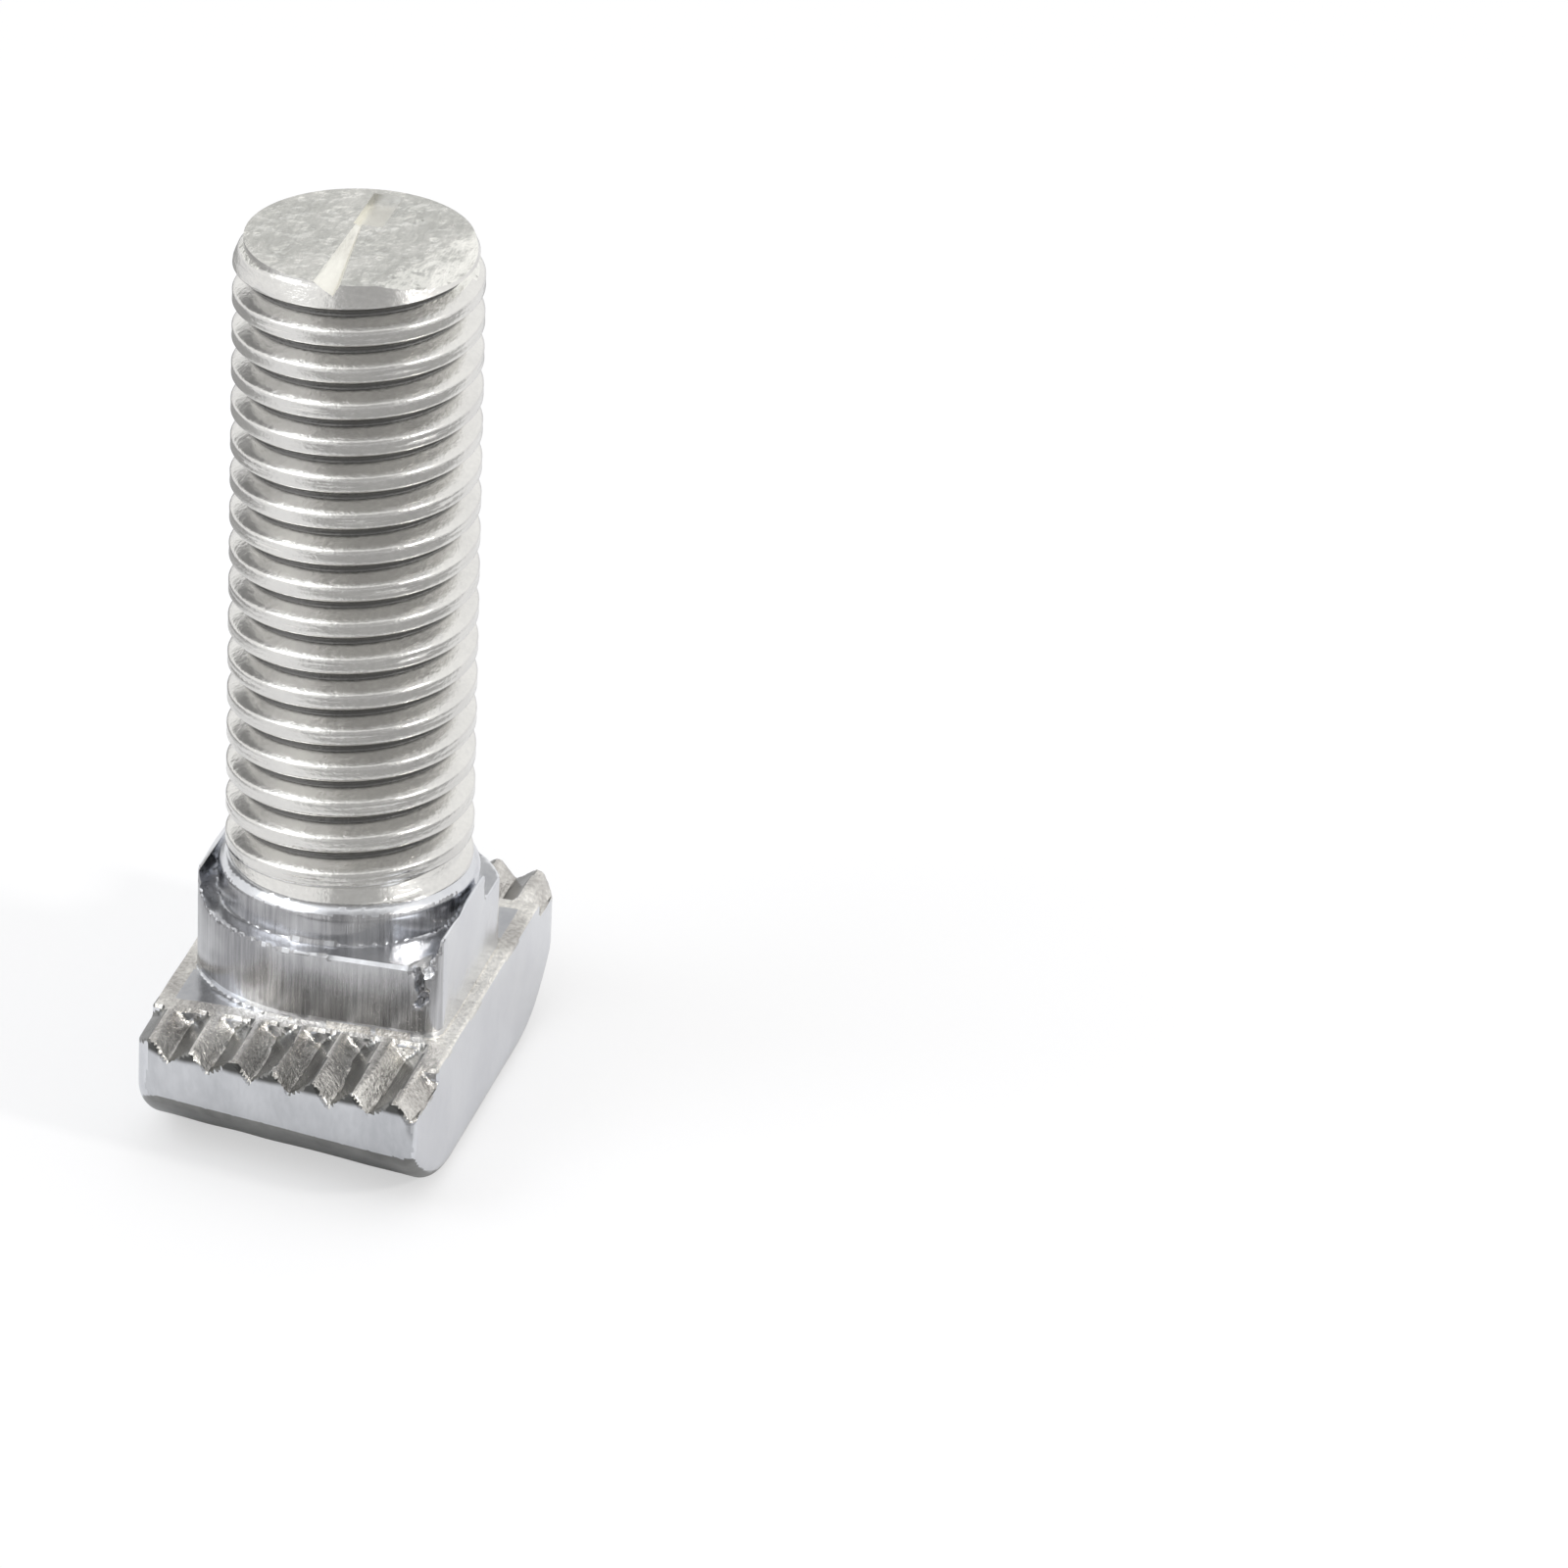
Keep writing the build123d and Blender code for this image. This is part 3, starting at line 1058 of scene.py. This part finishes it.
@dataclass
class EndSlot:
    """The squeezed slot in the end face. Millimetres."""

    end: float = BOLT_END
    width: float = 0.95
    pocket_start: float = 0.9
    pocket_length: float = 2.35
    pocket_depth: float = 0.24
    flute_depth: float = 0.36
    flute_squeeze: float = 0.2
    flute_offset: float = 0.3
    flute_lean: float = 0.55
    flute_overlap: float = 0.08
    flute_reach: float = COLLAR_RADIUS
    flute_over: float = 0.001
    facet_turn: float = 250.1
    facet_start: float = 2.5
    facet_slope: float = 0.3
    facet_behind: float = 0.2
    facet_reach: float = 3.0
    facet_half: float = 6.0
    pocket_over: float = 0.5
    facet_over: float = 1.0
    wall_radius: float = 3.58
    skin: float = 0.01
    slack: float = 0.02

    def cut(self, bolt: bpy.types.Object) -> None:
        """Cuts the facet, the pocket and the flute.

        Args:
            bolt: The bolt with its plain end face.
        """
        self.cut_facet(bolt)
        half = self.width / 2
        spans = (
            (self.pocket_start, self.pocket_start + self.pocket_length),
            (-half, half),
            (self.end - self.pocket_depth, self.end + self.pocket_over),
        )
        corners = np.array(list(itertools.product(*spans)))
        combined(bolt, mesh_object("slot_pocket", corners, BOX_FACES), Joining.CUT_AWAY)
        inner = (self.pocket_start + self.flute_overlap, self.flute_squeeze, self.flute_offset)
        ends = []
        for x, share, middle in (inner, (-self.flute_reach, 1.0, 0.0)):
            wide, deep = share * half, share * self.flute_depth
            ends += [
                (x, middle - wide, self.end + self.flute_over),
                (x, middle - self.flute_lean * wide, self.end - deep),
                (x, middle + wide, self.end + self.flute_over),
                (x, middle, self.end + deep),
            ]
        combined(bolt, mesh_object("slot_flute", np.array(ends), PRISM_FACES), Joining.CUT_AWAY)

    def cut_facet(self, bolt: bpy.types.Object) -> None:
        """Cuts off the side of the end face that the shear has dragged down.

        Args:
            bolt: The bolt with its plain end face.
        """
        turn = math.radians(self.facet_turn)
        out, side = (math.cos(turn), math.sin(turn)), (-math.sin(turn), math.cos(turn))
        near, far = self.facet_start - self.facet_behind, self.facet_start + self.facet_reach
        plan = (
            (near, self.end + self.facet_behind * self.facet_slope),
            (far, self.end - self.facet_reach * self.facet_slope),
            (far, self.end + self.facet_over),
            (near, self.end + self.facet_over),
        )
        ends = []
        for along in (-self.facet_half, self.facet_half):
            for away, z in plan:
                ends.append((out[0] * away + side[0] * along, out[1] * away + side[1] * along, z))
        combined(bolt, mesh_object("sheared_side", np.array(ends), PRISM_FACES), Joining.CUT_AWAY)

    def holds(self, spot: Vector) -> bool:
        """Says whether a point lies in the pocket or in the flute, below the end face.

        Args:
            spot: The point, in millimetres.

        Returns:
            True inside the slot.
        """
        if not self.end - self.flute_depth - self.slack < spot.z < self.end - self.skin:
            return False
        if self.pocket_start < spot.x < self.pocket_start + self.pocket_length - self.slack:
            return abs(spot.y) < self.width / 2 + self.skin
        along = (self.pocket_start - spot.x) / (self.pocket_start + self.flute_reach)
        along = min(max(along, 0.0), 1.0)
        half = self.width / 2 * (self.flute_squeeze + (1 - self.flute_squeeze) * along)
        aside = abs(spot.y - self.flute_offset * (1 - along))
        below = spot.x < self.pocket_start and spot.xy.length < self.wall_radius
        return below and aside < half + self.slack


@dataclass
class Bolt:
    """The whole bolt, one forged and thread-rolled piece."""

    forging: Forging = field(default_factory=Forging)
    shank: Shank = field(default_factory=Shank)
    slot: EndSlot = field(default_factory=EndSlot)
    sheared_height: float = 1.0
    level_normal: float = 0.8
    back_normal: float = 0.7
    sharp_degrees: float = 38

    def build(self) -> bpy.types.Object:
        """Makes the bolt and puts it in the CAD node's place.

        Returns:
            The bolt's object.
        """
        finishes = {surface: FINISHES[surface].build() for surface in Surface}
        shank = self.shank.build(finishes[Surface.ROLLED])
        made = self.forging.build()
        for surface in Surface:
            made.data.materials[surface.value] = finishes[surface]
        combined(made, shank, Joining.ADDED)
        self.slot.cut(made)
        made.name = "plated_bolt"
        self.finish_faces(made.data, finishes)
        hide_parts(NODE)
        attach(made, BODY)
        LOG.info("bolt: %d faces, materials %s", len(made.data.polygons), made.data.materials.keys())
        return made

    def finish_faces(
        self, mesh: bpy.types.Mesh, finishes: "dict[Surface, bpy.types.Material]"
    ) -> None:
        """Dresses the sheared end, paints the slot's pocket and flute light and its back wall in painted
        shade, and shades the bolt smooth between its real edges.

        Args:
            mesh: The bolt's mesh.
            finishes: The materials.
        """
        names = mesh.materials.keys()
        wanted = (Surface.SHEARED, Surface.SLOT_PAINTED_LIGHT, Surface.PAINTED_SHADE)
        sheared, painted_light_index, painted_shade_index = (names.index(finishes[surface].name) for surface in wanted)
        for face in mesh.polygons:
            if face.center.z <= (self.shank.end - self.sheared_height) * MM:
                continue
            # Painted light on the slot's pocket and flute, painted shade on its back wall.
            if self.slot.holds(face.center / MM):
                back = face.center.x > 0 and abs(face.normal.x) > self.back_normal
                face.material_index = painted_shade_index if back else painted_light_index
            elif face.normal.z > self.level_normal:
                face.material_index = sheared
        mesh.shade_smooth()
        mesh.set_sharp_from_angle(angle=math.radians(self.sharp_degrees))


# ---- studio ----


@dataclass(frozen=True)
class Softbox:
    """A square lamp, placed round the bolt as seen by the camera."""

    name: str
    turn: float
    height: float
    size: float
    power: float
    tint: Triple = (1.0, 1.0, 1.0)


@dataclass(frozen=True)
class Card:
    """A grey card with soft edges that only shows in the metal. Metres, degrees."""

    name: str
    turn: float
    height: float
    width: float
    tall: float
    grey: float
    away: float = 0.45
    tilt: "float | None" = None
    soft: float = 0.16


@dataclass
class Studio:
    """A white floor, a white world, soft lamps and dark cards. Metres."""

    middle: Triple = (0.0, 0.0, 0.014)
    camera_place: Triple = (-0.392034, -0.110713, 0.217695)
    camera_right: Triple = (0.25335858, -0.96695138, 0.02853881)
    camera_up: Triple = (0.43210403, 0.13951518, 0.89096668)
    lens: float = 333.09
    sensor: float = 36.0
    clip: Pair = (0.01, 20.0)
    distance: float = 0.5
    floor_size: float = 6.0
    floor_colour: "tuple[float, ...]" = (0.9, 0.9, 0.91, 1.0)
    floor_glow: float = 1.08
    floor_glow_share: float = 0.5
    floor_gap: float = 0.0002
    world_light: float = 0.8
    world_shown: float = 0.25
    softboxes: "tuple[Softbox, ...]" = (
        Softbox("key_softbox", 60.0, 30.0, 0.06, 0.65, (1.0, 0.98, 0.95)),
        Softbox("left_softbox", -70.0, 45.0, 0.3, 0.6, (0.93, 0.96, 1.0)),
    )
    cards: "tuple[Card, ...]" = (
        Card("card_above", 115.0, 82.0, 0.42, 0.42, 0.5),
        Card("card_behind", 182.0, 28.0, 0.26, 0.22, 0.56),
        Card("card_left", -135.0, 36.0, 0.3, 0.36, 0.25),
        Card("card_camera", 10.0, 22.0, 0.6, 0.66, 0.5),
        Card("card_floor", 31.0, 0.0, 0.24, 0.21, 0.45, away=0.117, tilt=90.0, soft=0.03),
        Card("card_floor_left", -140.0, 0.0, 0.14, 0.14, 0.4, away=0.09, tilt=90.0),
    )

    def toward(self, turn: float, height: float) -> Vector:
        """A direction from the bolt, counted from the camera's side.

        Args:
            turn: Degrees to the camera's right.
            height: Degrees above the floor.

        Returns:
            The unit direction.
        """
        back = Vector(self.camera_right).cross(Vector(self.camera_up))
        base = math.atan2(back.y, back.x) + math.radians(turn)
        flat = math.cos(math.radians(height))
        return Vector((math.cos(base) * flat, math.sin(base) * flat, math.sin(math.radians(height))))

    def floor(self) -> None:
        """Lays the white floor."""
        bpy.ops.mesh.primitive_plane_add(size=self.floor_size, location=(0, 0, 0))
        floor = bpy.context.object
        floor.name = "floor"
        material, tree = bare_material("white_floor")
        straight = tree.node("ShaderNodeLightPath", output="Is Camera Ray")
        matt = tree.node("ShaderNodeBsdfDiffuse", {"Color": self.floor_colour})
        white = tree.node("ShaderNodeEmission", {"Strength": self.floor_glow})
        mask = straight * self.floor_glow_share
        tree.surface(tree.node("ShaderNodeMixShader", {0: mask, 1: matt, 2: white}))
        floor.data.materials.append(material)

    def seen_rays(self, tree: Tree) -> Term:
        """1 for rays that the camera sees, straight or in a gloss, otherwise 0.

        Args:
            tree: The tree that uses it.

        Returns:
            The mask.
        """
        rays = tree.tree.nodes.new("ShaderNodeLightPath")
        camera = Term(tree, rays.outputs["Is Camera Ray"])
        glossy = Term(tree, rays.outputs["Is Glossy Ray"])
        through = Term(tree, rays.outputs["Is Transmission Ray"])
        return camera.at_least(glossy).at_least(through)

    def world(self) -> None:
        """Makes the world white to the camera and in the metal, and a plain level for the light."""
        world = bpy.data.worlds.new("white_studio")
        world.use_nodes = True
        bpy.context.scene.world = world
        tree = Tree(world.node_tree)
        background = world.node_tree.nodes["Background"]
        strength = self.world_light + self.seen_rays(tree) * self.world_shown
        world.node_tree.links.new(strength.socket, background.inputs["Strength"])
        background.inputs["Color"].default_value = (1.0, 1.0, 1.0, 1.0)

    def lamps(self) -> None:
        """Hangs the softboxes."""
        for box in self.softboxes:
            data = bpy.data.lights.new(box.name, "AREA")
            data.shape = "SQUARE"
            data.size = box.size
            data.energy = box.power
            data.color = box.tint
            lamp = bpy.data.objects.new(box.name, data)
            way = self.toward(box.turn, box.height)
            lamp.location = Vector(self.middle) + way * self.distance
            lamp.rotation_euler = way.to_track_quat("Z", "Y").to_euler()
            bpy.context.scene.collection.objects.link(lamp)

    def flags(self) -> None:
        """Stands the cards round the bolt."""
        for card in self.cards:
            way = self.toward(card.turn, card.height)
            facing = self.toward(card.turn, card.height if card.tilt is None else card.tilt)
            base = Vector(self.middle) if card.tilt is None else Vector((0, 0, self.floor_gap))
            centre = base + way * card.away
            across = Vector((0, 0, 1)).cross(self.toward(card.turn, 0))
            upward = facing.cross(across)
            spots = []
            for u, v in ((-1, -1), (1, -1), (1, 1), (-1, 1)):
                spots.append(centre + across * (u * card.width / 2) + upward * (v * card.tall / 2))
            made = mesh_object(card.name, np.array(spots) / MM, np.array([(0, 1, 2, 3)]))
            layer = made.data.uv_layers.new(name="UVMap")
            for loop, spot in zip(layer.data, ((0, 0), (1, 0), (1, 1), (0, 1))):
                loop.uv = spot
            made.data.materials.append(self.card_paper(card))
            made.visible_camera = False
            made.visible_diffuse = False
            made.visible_shadow = False

    def card_paper(self, card: Card) -> bpy.types.Material:
        """Makes a card's material, which thins out towards its edges.

        Args:
            card: The card.

        Returns:
            The material.
        """
        material, tree = bare_material(card.name)
        u, v, _ = tree.parts(tree.node("ShaderNodeTexCoord", output="UV"))
        inner = (0.5 - (u - 0.5).absolute()).at_most(0.5 - (v - 0.5).absolute())
        grey = (card.grey, card.grey, card.grey, 1.0)
        glow = tree.node("ShaderNodeEmission", {"Color": grey, "Strength": 1.0})
        clear = tree.node("ShaderNodeBsdfTransparent")
        mask = inner.between(0.0, card.soft)
        tree.surface(tree.node("ShaderNodeMixShader", {0: mask, 1: clear, 2: glow}))
        return material

    def camera(self) -> None:
        """Sets up the camera."""
        right, up = Vector(self.camera_right), Vector(self.camera_up)
        data = bpy.data.cameras.new("camera")
        data.sensor_width = self.sensor
        data.lens = self.lens
        data.clip_start, data.clip_end = self.clip
        made = bpy.data.objects.new("camera", data)
        turned = Matrix((right, up, right.cross(up))).transposed()
        made.matrix_world = Matrix.Translation(self.camera_place) @ turned.to_4x4()
        bpy.context.scene.collection.objects.link(made)
        bpy.context.scene.camera = made

    def build(self) -> None:
        """Sets up everything round the bolt."""
        self.floor()
        self.world()
        self.lamps()
        self.flags()
        self.camera()
        bpy.context.scene.view_settings.view_transform = "Standard"
        LOG.info("studio: %d softboxes, %d cards", len(self.softboxes), len(self.cards))


def main() -> None:
    """Builds the bolt and the studio."""
    logging.basicConfig(level=logging.INFO, format="%(name)s: %(message)s")
    Bolt().build()
    Studio().build()


if __name__ == "__main__":
    main()
